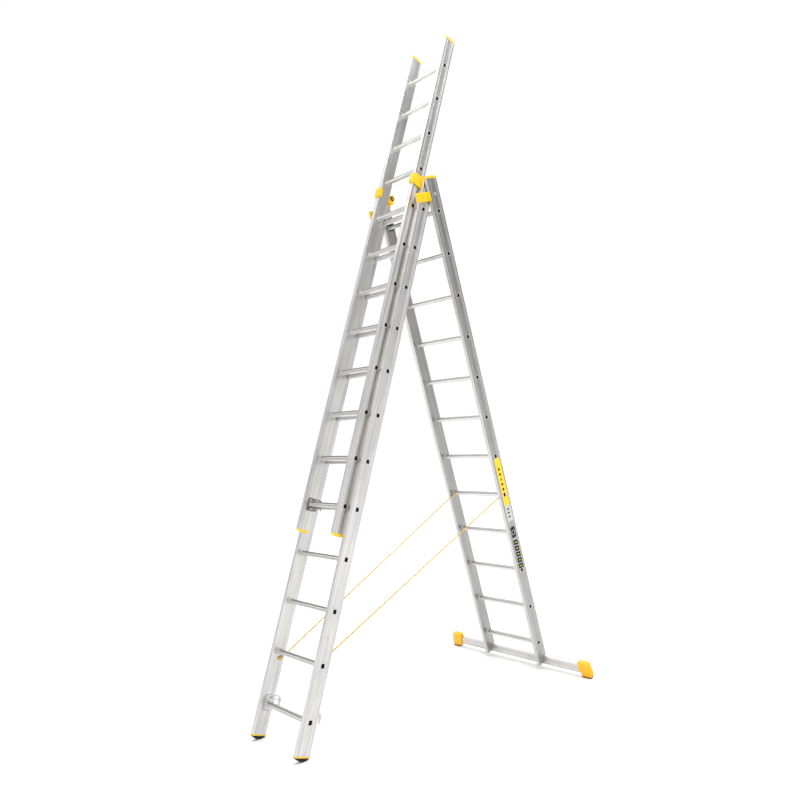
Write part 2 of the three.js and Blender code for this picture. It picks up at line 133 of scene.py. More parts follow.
# Studio: each bank of the backdrop adds its gain where a direction is inside its limits
WORLD_STRENGTH = 1.03
WORLD_BANKS = [
    (-0.66, [("X", 0.1, 0.5), ("Y", 0.05, 0.45), ("Z", 0.0, 0.42)]),
    (-0.45, [("X", -0.1, -0.5), ("Y", -0.02, -0.35), ("Z", -0.1, 0.2)]),
    (0.2, [("X", 0.1, 0.5), ("Y", -0.1, -0.5)]),
]

SOFTBOX_SIZE = 12
SOFTBOX_WATTS = 760
SOFTBOX_PLACE = (0.3, 0.6, 10)
FLOOR_HALF = 400

# Fasteners
RIVET_RADIUS = 0.0065
BOLT_RADIUS = 0.0085
BAR_BOLT_RADIUS = 0.007
BAR_BOLT_PLACE = (0.002, -0.076)
PIVOT_HOLE_RADIUS = 0.0086
ROLLER_SEAT = 0.0028
WASHER = 0.0012

# Labels
FILM_THICKNESS = 0.00015
LABEL_HALF = 0.0305
WINDOW_CLEAR = FLARE + 0.0004
MARK_PITCH = 0.036
BLOCK_PITCH = 0.044
BLOCK_HEIGHT = 0.038
BLOCK_HALF = 0.024


def linked(name, data):
    """A new object in the scene that holds the data."""
    holder = bpy.data.objects.new(name, data)
    bpy.context.scene.collection.objects.link(holder)
    return holder


# ---- camera

def add_camera():
    """The photograph's pinhole camera."""
    azimuth, elevation = CAMERA_AZIMUTH, CAMERA_ELEVATION
    back = Vector((
        math.sin(azimuth) * math.cos(elevation),
        -math.cos(azimuth) * math.cos(elevation),
        math.sin(elevation),
    ))
    level = Vector((0, 0, 1)).cross(back).normalized()
    upright = back.cross(level)
    right = level * math.cos(CAMERA_ROLL) + upright * math.sin(CAMERA_ROLL)
    up = upright * math.cos(CAMERA_ROLL) - level * math.sin(CAMERA_ROLL)
    camera = linked("camera", bpy.data.cameras.new("camera"))
    turn = Matrix((right, up, back)).transposed().to_4x4()
    camera.matrix_world = Matrix.Translation(CAMERA_AIM + back * CAMERA_DISTANCE) @ turn
    camera.data.lens = CAMERA_LENS
    camera.data.clip_end = 200
    bpy.context.scene.camera = camera


# ---- materials

class Graph:
    """A node tree, and short ways to add the nodes that it is made of."""

    def __init__(self, tree):
        self.tree = tree
        self.place = self.add("ShaderNodeTexCoord").outputs["Object"]

    def feed(self, target, value):
        """Links another node's output to an input, or sets a constant there."""
        if isinstance(value, bpy.types.NodeSocket):
            self.tree.links.new(value, target)
        else:
            target.default_value = value

    def add(self, kind, inputs=None, **settings):
        node = self.tree.nodes.new(kind)
        for key, value in settings.items():
            setattr(node, key, value)
        for key, value in (inputs or {}).items():
            self.feed(node.inputs[key], value)
        return node

    def noise(self, scale, detail=3.0, stretch=(1, 1, 1), roughness=0.5):
        mapping = self.add("ShaderNodeMapping", {"Scale": stretch, "Vector": self.place})
        return self.add("ShaderNodeTexNoise", {
            "Scale": scale, "Detail": detail, "Roughness": roughness,
            "Vector": mapping.outputs["Vector"],
        }).outputs["Fac"]

    def cells(self, scale):
        node = self.add("ShaderNodeTexVoronoi", {"Scale": scale, "Vector": self.place}, feature="F1")
        return node.outputs["Distance"]

    def span(self, value, low, high, start=0.0, end=1.0, **settings):
        """The value moved from the range start..end to the range low..high."""
        return self.add("ShaderNodeMapRange", {
            "From Min": start, "From Max": end, "To Min": low, "To Max": high, "Value": value,
        }, **settings).outputs["Result"]

    def ramp(self, value, *stops):
        node = self.add("ShaderNodeValToRGB", {"Fac": value})
        elements = node.color_ramp.elements
        while len(elements) < len(stops):
            elements.new(0.5)
        for element, (position, colour) in zip(elements, stops):
            element.position = position
            element.color = (*colour, 1)
        return node.outputs["Color"]

    def multiplied(self, factor, first, second):
        """Two colours multiplied together, by the factor's share."""
        inputs = {"Factor": factor, "A": first, "B": second}
        node = self.add("ShaderNodeMix", inputs, data_type="RGBA", blend_type="MULTIPLY")
        return node.outputs["Result"]

    def math(self, operation, *values):
        node = self.add("ShaderNodeMath", dict(enumerate(values)), operation=operation)
        return node.outputs["Value"]


class Finish(Graph):
    """One material, as a graph that drives its shader."""

    def __init__(self, name):
        self.material = bpy.data.materials.new(name)
        self.material.use_nodes = True
        super().__init__(self.material.node_tree)
        self.shader = self.tree.nodes["Principled BSDF"]

    def drive(self, socket, value):
        self.feed(self.shader.inputs[socket], value)

    def bump(self, height, distance, strength):
        inputs = {"Strength": strength, "Distance": distance, "Height": height}
        self.drive("Normal", self.add("ShaderNodeBump", inputs).outputs["Normal"])


def extruded_aluminium(name, grain, tone):
    """Mill-finish extrusion: grain is the axis that its fine die lines run along."""
    graph = Finish(name)
    along = [1.0, 1.0, 1.0]
    along["xyz".index(grain)] = 0.012
    lines = graph.noise(300, 3, along, 0.55)
    streaks = graph.noise(70, 2, along)
    clouds = graph.noise(5, 4, (1, 1, 0.6), 0.6)
    dull = [value * 0.74 for value in tone]
    fine = graph.ramp(lines, (0.3, dull), (0.62, tone))
    broad = graph.ramp(streaks, (0.34, (0.8, 0.8, 0.8)), (0.6, (1, 1, 1)))
    # Broad clouds darken the aluminium in patches as painted reflections of neighbouring parts.
    painted_reflections = graph.ramp(clouds, (0.32, (0.83, 0.82, 0.81)), (0.6, (1, 1, 1)))
    streaked = graph.multiplied(0.75, fine, broad)
    graph.drive("Base Color", graph.multiplied(0.8, streaked, painted_reflections))
    rough = graph.math("ADD", graph.span(lines, 0.3, 0.38), graph.span(clouds, -0.04, 0.06))
    graph.drive("Roughness", rough)
    graph.drive("Metallic", 1.0)
    graph.bump(lines, 0.00004, 0.12)
    return graph.material


def shadowed_bore():
    """The inside of a rung: unbrushed metal, near black as painted shadow."""
    graph = Finish("shadowed_bore")
    mottle = graph.noise(140, 4)
    colour = graph.ramp(mottle, (0.3, (0.006, 0.006, 0.006)), (0.7, (0.022, 0.021, 0.02)))
    graph.drive("Base Color", colour)
    graph.drive("Roughness", graph.span(mottle, 0.75, 0.95))
    return graph.material


def zinc_plate(name, tone):
    """Galvanised steel: a crystal spangle under grime."""
    graph = Finish(name)
    spangle = graph.cells(170)
    grime = graph.noise(45, 5, roughness=0.65)
    dull = [value * 0.55 for value in tone]
    facets = graph.ramp(spangle, (0.05, tone), (0.75, [value * 0.8 for value in tone]))
    mottle = graph.ramp(grime, (0.3, dull), (0.6, (1, 1, 1)))
    graph.drive("Base Color", graph.multiplied(0.55, facets, mottle))
    graph.drive("Roughness", graph.span(grime, 0.5, 0.3))
    graph.drive("Metallic", 1.0)
    graph.bump(grime, 0.0003, 0.25)
    return graph.material


def moulded_plastic(name, light, deep):
    """Satin moulding with a spark-eroded texture and rubbed, dusty patches."""
    graph = Finish(name)
    texture = graph.noise(900, 3)
    patches = graph.noise(24, 5, roughness=0.6)
    rubbed = graph.noise(160, 4, (1, 1, 0.4))
    colour = graph.ramp(patches, (0.3, deep), (0.62, light))
    scuffs = graph.ramp(rubbed, (0.3, (0.82, 0.8, 0.76)), (0.45, (1, 1, 1)))
    graph.drive("Base Color", graph.multiplied(0.6, colour, scuffs))
    graph.drive("Roughness", graph.span(patches, 0.52, 0.36))
    graph.bump(texture, 0.0003, 0.3)
    return graph.material


def moulded_rubber():
    """Matt rubber with dust in its grain."""
    graph = Finish("moulded_rubber")
    grain = graph.noise(700, 3)
    dust = graph.noise(60, 6, roughness=0.7)
    colour = graph.ramp(dust, (0.42, (0.009, 0.009, 0.01)), (0.75, (0.05, 0.047, 0.043)))
    graph.drive("Base Color", colour)
    graph.drive("Roughness", graph.span(dust, 0.6, 0.85))
    graph.drive("Specular IOR Level", 0.2)
    graph.bump(grain, 0.0004, 0.5)
    return graph.material


def rope_fibre(name, light, deep):
    """Soiled, fuzzy fibres."""
    graph = Finish(name)
    fibres = graph.noise(1500, 3, (1, 0.25, 0.25))
    wear = graph.noise(30, 4)
    colour = graph.ramp(fibres, (0.3, deep), (0.65, light))
    soil = graph.ramp(wear, (0.35, (0.7, 0.66, 0.6)), (0.6, (1, 1, 1)))
    graph.drive("Base Color", graph.multiplied(0.6, colour, soil))
    graph.drive("Roughness", 0.8)
    graph.drive("Sheen Weight", 0.25)
    graph.drive("Sheen Roughness", 0.5)
    graph.bump(fibres, 0.0005, 0.6)
    return graph.material


def printed_film(name, colour):
    """A dull printed film, worn in places."""
    graph = Finish(name)
    wear = graph.noise(220, 5, roughness=0.7)
    worn = [value * 0.85 + 0.004 for value in colour]
    graph.drive("Base Color", graph.ramp(wear, (0.3, worn), (0.45, colour)))
    graph.drive("Roughness", graph.span(wear, 0.75, 0.6))
    return graph.material


# Metals. A piece may wear several of them
# The stile's web and flange metals are one aluminium: the web tone is painted shade, the flange tone
# painted light.
web_painted_shade_metal = extruded_aluminium("web_painted_shade_metal", "z", (0.76, 0.75, 0.73))
flange_painted_light_metal = extruded_aluminium("flange_painted_light_metal", "z", (0.93, 0.92, 0.91))
# The base section's stile tones are the same aluminium darker again, as painted shade.
base_web_painted_shade_metal = extruded_aluminium("base_web_painted_shade_metal", "z", (0.47, 0.465, 0.46))
base_flange_painted_shade_metal = extruded_aluminium("base_flange_painted_shade_metal", "z", (0.74, 0.735, 0.73))
rung_metal = extruded_aluminium("rung_metal", "x", (0.86, 0.86, 0.85))
# The lip metal darkens the tread lip's front and back faces as painted shade.
lip_painted_shade_metal = extruded_aluminium("lip_painted_shade_metal", "x", (0.5, 0.5, 0.49))
# The collar metal lightens the rungs' swaged collars as a painted highlight.
collar_painted_highlight_metal = extruded_aluminium("collar_painted_highlight_metal", "x", (0.95, 0.95, 0.94))
bar_metal = extruded_aluminium("bar_metal", "x", (0.84, 0.82, 0.81))
# The near-black bore metal is painted shadow inside the hollow rungs.
bore_painted_shadow = shadowed_bore()

# Finishes, each a slot and its material, and the two materials of a rope
zinc = ("zinc_steel", [zinc_plate("zinc_bright", (0.76, 0.76, 0.78))])
dark_zinc = ("zinc_steel", [zinc_plate("zinc_dark", (0.34, 0.34, 0.34))])
yellow = ("yellow_plastic", [
    moulded_plastic("yellow_moulding", (1.0, 0.65, 0.008), (0.97, 0.54, 0.005)),
])
orange = ("yellow_plastic", [
    moulded_plastic("orange_moulding", (0.98, 0.54, 0.008), (0.92, 0.43, 0.005)),
])
black_plastic = ("black_rubber", [
    moulded_plastic("black_moulding", (0.02, 0.02, 0.021), (0.012, 0.012, 0.012)),
])
rubber = ("black_rubber", [moulded_rubber()])
rope_yellow = rope_fibre("rope_yellow", (0.9, 0.58, 0.08), (0.7, 0.4, 0.035))
rope_tracer = rope_fibre("rope_tracer", (0.2, 0.15, 0.08), (0.07, 0.05, 0.03))
film_yellow = ("yellow_plastic", [printed_film("film_yellow", (1.0, 0.68, 0.015))])
film_white = ("yellow_plastic", [printed_film("film_white", (0.62, 0.61, 0.6))])
film_lime = ("yellow_plastic", [printed_film("film_lime", (0.55, 0.5, 0.03))])
film_black = ("black_rubber", [printed_film("film_black", (0.006, 0.005, 0.006))])


# ---- mesh tools

def shaded(mesh, angle=math.radians(32)):
    """Smooth over shallow edges and crisp over sharp ones."""
    mesh.polygons.foreach_set("use_smooth", [True] * len(mesh.polygons))
    mesh.set_sharp_from_angle(angle=angle)
    mesh.update()
    return mesh


def from_bmesh(name, work):
    """The finished mesh, with its faces turned outwards."""
    bmesh.ops.recalc_face_normals(work, faces=work.faces)
    mesh = bpy.data.meshes.new(name)
    work.to_mesh(mesh)
    work.free()
    return mesh


def swept(name, rings, wrap=False):
    """Joins rings of equal count. A wrapped sweep closes on itself; any other has flat ends."""
    work = bmesh.new()
    rows = [[work.verts.new(point) for point in ring] for ring in rings]
    pairs = list(zip(rows, rows[1:]))
    if wrap:
        pairs.append((rows[-1], rows[0]))
    for first, second in pairs:
        for index in range(len(first)):
            following = (index + 1) % len(first)
            work.faces.new((first[index], first[following], second[following], second[index]))
    if not wrap:
        work.faces.new(rows[0])
        work.faces.new(rows[-1])
    return from_bmesh(name, work)


def filleted(corners, radius, steps=4):
    """An outline with rounded corners. Radius is one value, or one for each corner."""
    radii = radius if isinstance(radius, (list, tuple)) else [radius] * len(corners)
    points = []
    for index, corner in enumerate(corners):
        here = Vector(corner)
        back = Vector(corners[index - 1]) - here
        ahead = Vector(corners[(index + 1) % len(corners)]) - here
        half = back.angle(ahead) / 2
        reach = min(radii[index] / math.tan(half), 0.48 * min(back.length, ahead.length))
        if reach < 1e-6 or half > math.radians(88):
            points.append(here)
            continue
        start, end = back.normalized() * reach, ahead.normalized() * reach
        centre = (start + end).normalized() * (reach / math.cos(half))
        spoke = (start - centre).length
        for step in range(steps + 1):
            direction = (start - centre).slerp(end - centre, step / steps)
            points.append(here + centre + direction * spoke)
    return [(point.x, point.y) for point in points]


def disc(centre, radius, count=28):
    """A round outline."""
    turns = [2 * math.pi * index / count for index in range(count)]
    return [(centre[0] + radius * math.cos(a), centre[1] + radius * math.sin(a)) for a in turns]


def slot_outline(start, end, radius, count=8):
    """A round-ended slot between two points."""
    run = Vector(end) - Vector(start)
    turn = math.atan2(run.y, run.x)
    points = []
    for centre, offset in ((end, -math.pi / 2), (start, math.pi / 2)):
        for step in range(count + 1):
            angle = turn + offset + math.pi * step / count
            points.append((
                centre[0] + radius * math.cos(angle),
                centre[1] + radius * math.sin(angle),
            ))
    return points


def wound(points, anticlockwise):
    """The points in the wanted order round their outline."""
    area = sum(
        a[0] * b[1] - b[0] * a[1] for a, b in zip(points, [*points[1:], points[0]])
    )
    return list(points) if (area > 0) == anticlockwise else list(reversed(points))


def meshed(curve):
    """The mesh of a curve, with its seams welded."""
    holder = linked(curve.name, curve)
    graph = bpy.context.evaluated_depsgraph_get()
    mesh = bpy.data.meshes.new_from_object(holder.evaluated_get(graph))
    bpy.data.objects.remove(holder)
    work = bmesh.new()
    work.from_mesh(mesh)
    bmesh.ops.remove_doubles(work, verts=work.verts, dist=2e-6)
    bpy.data.meshes.remove(mesh)
    return from_bmesh(curve.name, work)


def plate(name, outline, low, high, holes=(), ease=0.0006):
    """A piece cut to a (y, z) outline, from x = low to x = high, with eased edges."""
    curve = bpy.data.curves.new(name, "CURVE")
    curve.dimensions = "2D"
    curve.fill_mode = "BOTH"
    loops = [wound(outline, True)] + [wound(hole, False) for hole in holes]
    for loop in loops:
        spline = curve.splines.new("POLY")
        spline.points.add(len(loop) - 1)
        for point, (y, z) in zip(spline.points, loop):
            point.co = (y, z, 0, 1)
        spline.use_cyclic_u = True
    curve.extrude = (high - low) / 2 - ease
    curve.bevel_depth = ease
    curve.bevel_resolution = 2
    curve.offset = -ease
    mesh = meshed(curve)
    turned = Matrix(((0, 0, 1, (low + high) / 2), (1, 0, 0, 0), (0, 1, 0, 0), (0, 0, 0, 1)))
    mesh.transform(turned)
    return shaded(mesh)


def lathed(name, profile, centre, axis, sides=28):
    """A turned piece: profile holds (radius, height) points, height along axis from centre."""
    turn = Vector((0, 0, 1)).rotation_difference(Vector(axis)).to_matrix()
    rings = []
    for radius, height in profile:
        ring = [Vector((x, y, height)) for x, y in disc((0, 0), radius, sides)]
        rings.append([Vector(centre) + turn @ point for point in ring])
    return shaded(swept(name, rings))


def mirrored(mesh):
    """A left-hand copy of a right-hand mesh."""
    copy = mesh.copy()
    copy.transform(Matrix.Scale(-1, 4, (1, 0, 0)))
    copy.flip_normals()
    return copy


def joined(name, meshes):
    """Several meshes as one."""
    work = bmesh.new()
    for mesh in meshes:
        work.from_mesh(mesh)
    return from_bmesh(name, work)


def carved(mesh, cutters):
    """The mesh with each cutter taken out of it."""
    block = linked(mesh.name, mesh)
    tools = []
    for cutter in cutters:
        tool = linked(cutter.name, cutter)
        modifier = block.modifiers.new(cutter.name, "BOOLEAN")
        modifier.operation = "DIFFERENCE"
        modifier.solver = "EXACT"
        modifier.object = tool
        tools.append(tool)
    graph = bpy.context.evaluated_depsgraph_get()
    result = bpy.data.meshes.new_from_object(block.evaluated_get(graph))
    for holder in (block, *tools):
        bpy.data.objects.remove(holder)
    return result


def add(name, mesh, section, finish, replaces=()):
    """Places a mesh made in a section's frame, and lets it ride on that section's body.

    Aluminium keeps the section's axes, which its grain follows.
    """
    slot, materials = finish
    zones = [polygon.material_index for polygon in mesh.polygons]
    if not mesh.materials:
        for material in materials:
            mesh.materials.append(material)
        mesh.polygons.foreach_set("material_index", zones)
    piece = linked(name, mesh)
    if slot == "aluminium":
        piece.matrix_world = section.matrix
    else:
        mesh.transform(section.matrix)
    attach(piece, section.body)
    if replaces:
        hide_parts(*replaces)
    return piece


def add_pair(name, mesh, section, finish, replaces=None):
    """Adds a right-hand mesh and its left-hand mirror image."""
    for side, made in (("right", mesh), ("left", mirrored(mesh))):
        nodes = [f"{replaces}_{side}"] if replaces else []
        add(f"{name}_{side}", made, section, finish, nodes)


def rib_set(outlines, low, high):
    """Raised ribs of the given outlines, from x = low to x = high, as one mesh."""
    ribs = [plate("rib", outline, low, high, ease=RIB_EASE) for outline in outlines]
    return shaded(joined("ribs", ribs))


# ---- sections

class Section:
    """One ladder section: its frame, its body, and the sizes of its right stile."""

    def __init__(self, name, body):
        self.name = name
        self.body = body
        first, last = self.centre(1), self.centre(RUNG_COUNT)
        up = (last - first).normalized()
        across = Vector((1, 0, 0))
        turn = Matrix((across, up.cross(across), up)).transposed().to_4x4()
        self.matrix = Matrix.Translation(first) @ turn
        self.pitch = (last - first).length / (RUNG_COUNT - 1)
        low, high = self.box(f"{name}_stile_right")
        self.inner, self.outer = low.x, high.x
        self.web = high.x - WEB_RECESS
        self.half = high.y
        self.bottom, self.top = low.z, high.z

    def centre(self, number):
        low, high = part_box(f"{self.name}_rung_{number:02d}")
        return (low + high) / 2

    def box(self, node):
        """A CAD node's lowest and highest corners in the section's frame."""
        back = self.matrix.inverted()
        points = [back @ vertex.co for vertex in frame["nodes"][node].data.vertices]
        low = Vector(min(point[axis] for point in points) for axis in range(3))
        high = Vector(max(point[axis] for point in points) for axis in range(3))
        return low, high


base = Section("base", "base_section")
middle = Section("middle", "middle_section")
top = Section("top", "top_section")


class Catch:
    """A catch turns on its own body, but it is made in the top section's frame."""

    def __init__(self, side):
        self.matrix = top.matrix
        self.body = f"catch_{side}"


def eased_copy(node, section, width, angle=math.radians(35)):
    """A CAD node's shape in a section's frame, with rounded edges."""
    work = bmesh.new()
    work.from_mesh(frame["nodes"][node].data)
    work.transform(section.matrix.inverted())
    bmesh.ops.remove_doubles(work, verts=work.verts, dist=2e-6)
    bmesh.ops.dissolve_limit(
        work, angle_limit=math.radians(1), verts=work.verts, edges=work.edges
    )
    sharp = [edge for edge in work.edges if edge.calc_face_angle(0) > angle]
    bmesh.ops.bevel(
        work, geom=sharp, offset=width, segments=3, profile=0.5, affect="EDGES", clamp_overlap=True
    )
    for layer in list(work.loops.layers.uv):
        work.loops.layers.uv.remove(layer)
    return shaded(from_bmesh(node, work))


# ---- ropes

def rope_mesh(name, start, end):
    """A laid rope: three lobes that twist along the line, one of them a dark tracer."""
    run = end - start
    side = run.cross(Vector((0, 0, 1))).normalized()
    rise = side.cross(run).normalized()
    count = round(run.length / ROPE_LAY * ROPE_RINGS_PER_LAY)
    lobe = 0.09
    rings = []
    for index in range(count + 1):
        share = index / count
        twist = 2 * math.pi * share * run.length / ROPE_LAY
        ring = []
        for corner in range(ROPE_SIDES):
            angle = 2 * math.pi * corner / ROPE_SIDES
            bulge = 1 - lobe + lobe * abs(math.cos(ROPE_STRANDS * angle / 2))
            radius = ROPE_DIAMETER / 2 * bulge
            offset = side * math.cos(angle + twist) + rise * math.sin(angle + twist)
            ring.append(start + run * share + offset * radius)
        rings.append(ring)
    mesh = swept(name, rings)
    mesh.materials.append(rope_yellow)
    mesh.materials.append(rope_tracer)
    strand_sides = ROPE_SIDES // ROPE_STRANDS
    for polygon in mesh.polygons:
        row, corner = divmod(polygon.index, ROPE_SIDES)
        dark = corner < strand_sides and row % ROPE_RINGS_PER_LAY < ROPE_RINGS_PER_LAY // 3
        polygon.material_index = int(dark)
    return shaded(mesh, math.radians(60))


def add_ropes():
    """Two ropes between the sections, taut at rest."""
    for side, (start, end) in ROPE_ROUTES.items():
        name = f"spreader_rope_{side}"
        rope = linked(f"{name}_laid", rope_mesh(name, start, end))
        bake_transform(rope)
        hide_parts(name)


def knot_mesh(name):
    """An overhand knot, as a trefoil of rope."""
    curve = bpy.data.curves.new(name, "CURVE")
    curve.dimensions = "3D"
    spline = curve.splines.new("POLY")
    count = 60
    spline.points.add(count - 1)
    for index, point in enumerate(spline.points):
        t = 2 * math.pi * index / count
        reach = 2 + math.cos(3 * t)
        point.co = (
            KNOT_SCALE * math.sin(3 * t) * KNOT_STRETCH,
            KNOT_SCALE * reach * math.cos(2 * t),
            KNOT_SCALE * reach * math.sin(2 * t),
            1,
        )
    spline.use_cyclic_u = True
    curve.bevel_depth = KNOT_ROPE
    curve.bevel_resolution = 4
    return shaded(meshed(curve), math.radians(60))


def eye_mesh(name, centre, wall, sign):
    """A screwed ring on the stile's inner face, that the rope's end passes through."""
    rings = []
    for index in range(28):
        turn = 2 * math.pi * index / 28
        out = Vector((math.cos(turn), 0, math.sin(turn)))
        ring = []
        for y, reach in disc((0, 0), EYE_WIRE, 12):
            ring.append(centre + out * (EYE_RADIUS + y) + Vector((0, reach, 0)))
        rings.append(ring)
    ring = swept(name, rings, wrap=True)
    reach = wall - abs(centre.x) - EYE_RADIUS
    flange = EYE_WIRE * 3
    profile = [(EYE_WIRE, 0), (EYE_WIRE, reach), (flange, reach), (flange, reach + EYE_SHANK_GAP)]
    foot = centre + Vector((sign * EYE_RADIUS, 0, 0))
    shank = lathed(name, profile, foot, (sign, 0, 0), 20)
    return shaded(joined(name, [ring, shank]))


def add_rope_ends():
    """An eye and a knot at each end of each rope."""
    for side, route in ROPE_ROUTES.items():
        sign = 1 if side == "right" else -1
        for section, point, past in ((middle, route[0], -KNOT_SIZE), (base, route[1], KNOT_SIZE)):
            centre = section.matrix.inverted() @ point
            name = f"{section.name}_{side}"
            eye = eye_mesh(f"rope_eye_{name}", centre, section.inner - EYE_SHANK_GAP, sign)
            add(f"rope_eye_{name}", eye, section, zinc)
            knot = knot_mesh(f"rope_knot_{name}")
            knot.transform(Matrix.Translation(centre + Vector((0, past * 0.9, past * 0.6))))
            add(f"rope_knot_{name}", knot, section, ("rope_fibre", [rope_yellow]))


# ---- stiles

def trapezium(quarter, height):
    """Four (step, height) corners of a small rib or groove, whose foot is four quarters wide."""
    return [(-2 * quarter, 0), (-quarter, height), (quarter, height), (2 * quarter, 0)]


def grooves(start, end, places):
    """Corners along a straight face from start to end, with a shallow groove at each place."""
    start, end = Vector(start), Vector(end)
    along = (end - start).normalized()
    inward = Vector((-along.y, along.x))
    corners = [start]
    for place in places:
        centre = start + (end - start) * place
        for step, depth in trapezium(GROOVE_WIDTH / 4, GROOVE_DEPTH):
            corners.append(centre + along * step + inward * depth)
    return [*corners, end]


def web_ribs(section):
    """Corners across the recessed web, with fine ribs beside its raised edges."""
    band = section.half - WEB_BAND
    edge = band - WEB_RECESS
    corners = [(section.outer, -band), (section.web, -edge)]
    low = [-edge + RIB_PITCH * (number + 0.8) for number in range(3)]
    for place in [*low, *(-value for value in reversed(low))]:
        for step, rise in trapezium(RIB_WIDTH / 4, RIB_HEIGHT):
            corners.append((section.web + rise, place + step))
    return corners + [(section.web, edge), (section.outer, band)]


def stile_outline(section):
    """The (x, y) outline of a right stile, rounded at its four corners."""
    inner, outer, half = section.inner, section.outer, section.half
    front = grooves((inner, -half), (outer, -half), (0.3, 0.7))
    rear = grooves((outer, half), (inner, half), (0.3, 0.7))
    inside = grooves((inner, half), (inner, -half), (0.12, 0.88))[1:-1]
    corners = [*front, *web_ribs(section), *rear, *inside]
    ends = {(inner, -half), (outer, -half), (outer, half), (inner, half)}
    radii = [STILE_ROUND if tuple(corner) in ends else 0.0003 for corner in corners]
    return filleted([tuple(corner) for corner in corners], radii, 3)


def prism(name, outline, low, high, axis):
    """A straight cutter along x, from a (y, z) outline, or along z, from an (x, y) outline."""
    if axis == "x":
        rings = [[(place, y, z) for y, z in outline] for place in (low, high)]
    else:
        rings = [[(x, y, place) for x, y in outline] for place in (low, high)]
    return swept(name, rings)


def box_outline(low, high, radius, steps=3):
    """A rectangle between two corners, with rounded corners."""
    corners = [(low[0], low[1]), (high[0], low[1]), (high[0], high[1]), (low[0], high[1])]
    return filleted(corners, radius, steps)


def around_rung(rise, clear):
    """The outline of a rung at a height up the stile, with a clearance all round."""
    y, z = HALF_DEPTH + clear, HALF_HEIGHT + clear
    return box_outline((-y, rise - z), (y, rise + z), RUNG_ROUND)


def through_stile(name, outline, section):
    """A cutter through a section's right stile, from a (y, z) outline."""
    return prism(name, outline, section.inner - CUT_OVERRUN, section.outer + CUT_OVERRUN, "x")


def stile_mesh(section, bottom, end, extra_cutters):
    """A right stile from bottom to end, with its cavity, its rung holes and any other cuts."""
    blank = prism(f"{section.name}_stile", stile_outline(section), bottom, end, "z")
    cavity = box_outline(
        (section.inner + STILE_WALL, -section.half + STILE_WALL),
        (section.web - STILE_WALL, section.half - STILE_WALL),
        0.001,
    )
    holes = []
    for number in range(RUNG_COUNT):
        hole = around_rung(number * section.pitch, RUNG_PLAY)
        holes.append(through_stile("hole", hole, section))
    cutters = [prism("cavity", cavity, bottom - CUT_OVERRUN, end + CUT_OVERRUN, "z")]
    cutters += [joined("holes", holes), *extra_cutters]
    return shaded(carved(blank, cutters), math.radians(28))


def bar_notch():
    """The cut at the foot of a base stile that the stabiliser bar sits in."""
    low, high = base.box("stabiliser_bar")
    gap = 0.0005
    outline = box_outline(
        (low.y - gap, base.bottom - CUT_OVERRUN), (base.half + CUT_OVERRUN, high.z + gap), 0.0
    )
    return through_stile("notch", outline, base)


def pivot_place(section):
    """The A-frame hinge axis in a section's (y, z) side view."""
    fold = next(joint for joint in frame["joints"] if joint["name"] == "a_frame_fold")
    point = section.matrix.inverted() @ Vector(fold["pos_m"])
    return point.y, point.z


def pivot_hole():
    """The hinge hole through a middle stile."""
    return through_stile("pivot", disc(pivot_place(middle), PIVOT_HOLE_RADIUS), middle)


def add_stiles():
    """Hollow stiles in one aluminium of two tones: webs darker as painted shade and flanges lighter
    as painted light, both darker again on the base section as painted shade.
    """
    for section, end_cut, cutters in (
        (base, CAP_HEIGHT, [bar_notch()]), (middle, 0, [pivot_hole()]), (top, CAP_HEIGHT, []),
    ):
        mesh = stile_mesh(section, section.bottom, section.top - end_cut, cutters)
        name = f"{section.name}_stile"
        metals = [web_painted_shade_metal, flange_painted_light_metal]
        # The base section's stiles take the darker pair, as painted shade.
        if section is base:
            metals = [base_web_painted_shade_metal, base_flange_painted_shade_metal]
        # Faces that look forward or back take the lighter flange tone as painted light; all others
        # take the darker web tone as painted shade.
        for polygon in mesh.polygons:
            polygon.material_index = int(abs(polygon.normal.y) > 0.6)
        add_pair(f"{name}_extrusion", mesh, section, ("aluminium", metals), name)


# ---- rungs

def rung_outline():
    """The rung's (y, z) outline: ribbed treads above and below, grooved faces."""
    flat = HALF_DEPTH - RUNG_ROUND
    treads = [(-flat, HALF_HEIGHT)]
    count = int(2 * flat / TREAD_PITCH)
    for number in range(count):
        centre = (number - (count - 1) / 2) * TREAD_PITCH
        for step, depth in trapezium(TREAD_PITCH * TREAD_FLOOR, TREAD_DEPTH):
            treads.append((centre + step, HALF_HEIGHT - depth))
    upper = [*treads, (flat, HALF_HEIGHT)]
    arc = [
        (flat + RUNG_ROUND * math.sin(a), HALF_HEIGHT - RUNG_ROUND + RUNG_ROUND * math.cos(a))
        for a in (math.pi / 2 * step / 5 for step in range(1, 6))
    ]
    face = [
        (HALF_DEPTH, 0.0035), (HALF_DEPTH - TREAD_DEPTH, 0.0025),
        (HALF_DEPTH - TREAD_DEPTH, -0.0025), (HALF_DEPTH, -0.0035),
    ]
    right = upper + arc + face
    lower = [(y, -z) for y, z in reversed(upper + arc)]
    left = [(-y, z) for y, z in reversed(face)] + [(-y, z) for y, z in reversed(arc)]
    lower_left = [(-y, -z) for y, z in arc[:-1]]
    return right + lower + lower_left + left


def undercut(outline):
    """The rung between its ends: a tread lip above, and faces that slope in below it."""
    edge = HALF_HEIGHT - LIP_HEIGHT
    points = []
    for y, z in outline:
        rise = max(0, z - edge) / LIP_HEIGHT * LIP_SLOPE
        drop = max(0, edge - z) / (RUNG_HEIGHT - LIP_HEIGHT) * UNDERCUT
        points.append((y * (1 - rise - drop), z))
    return points


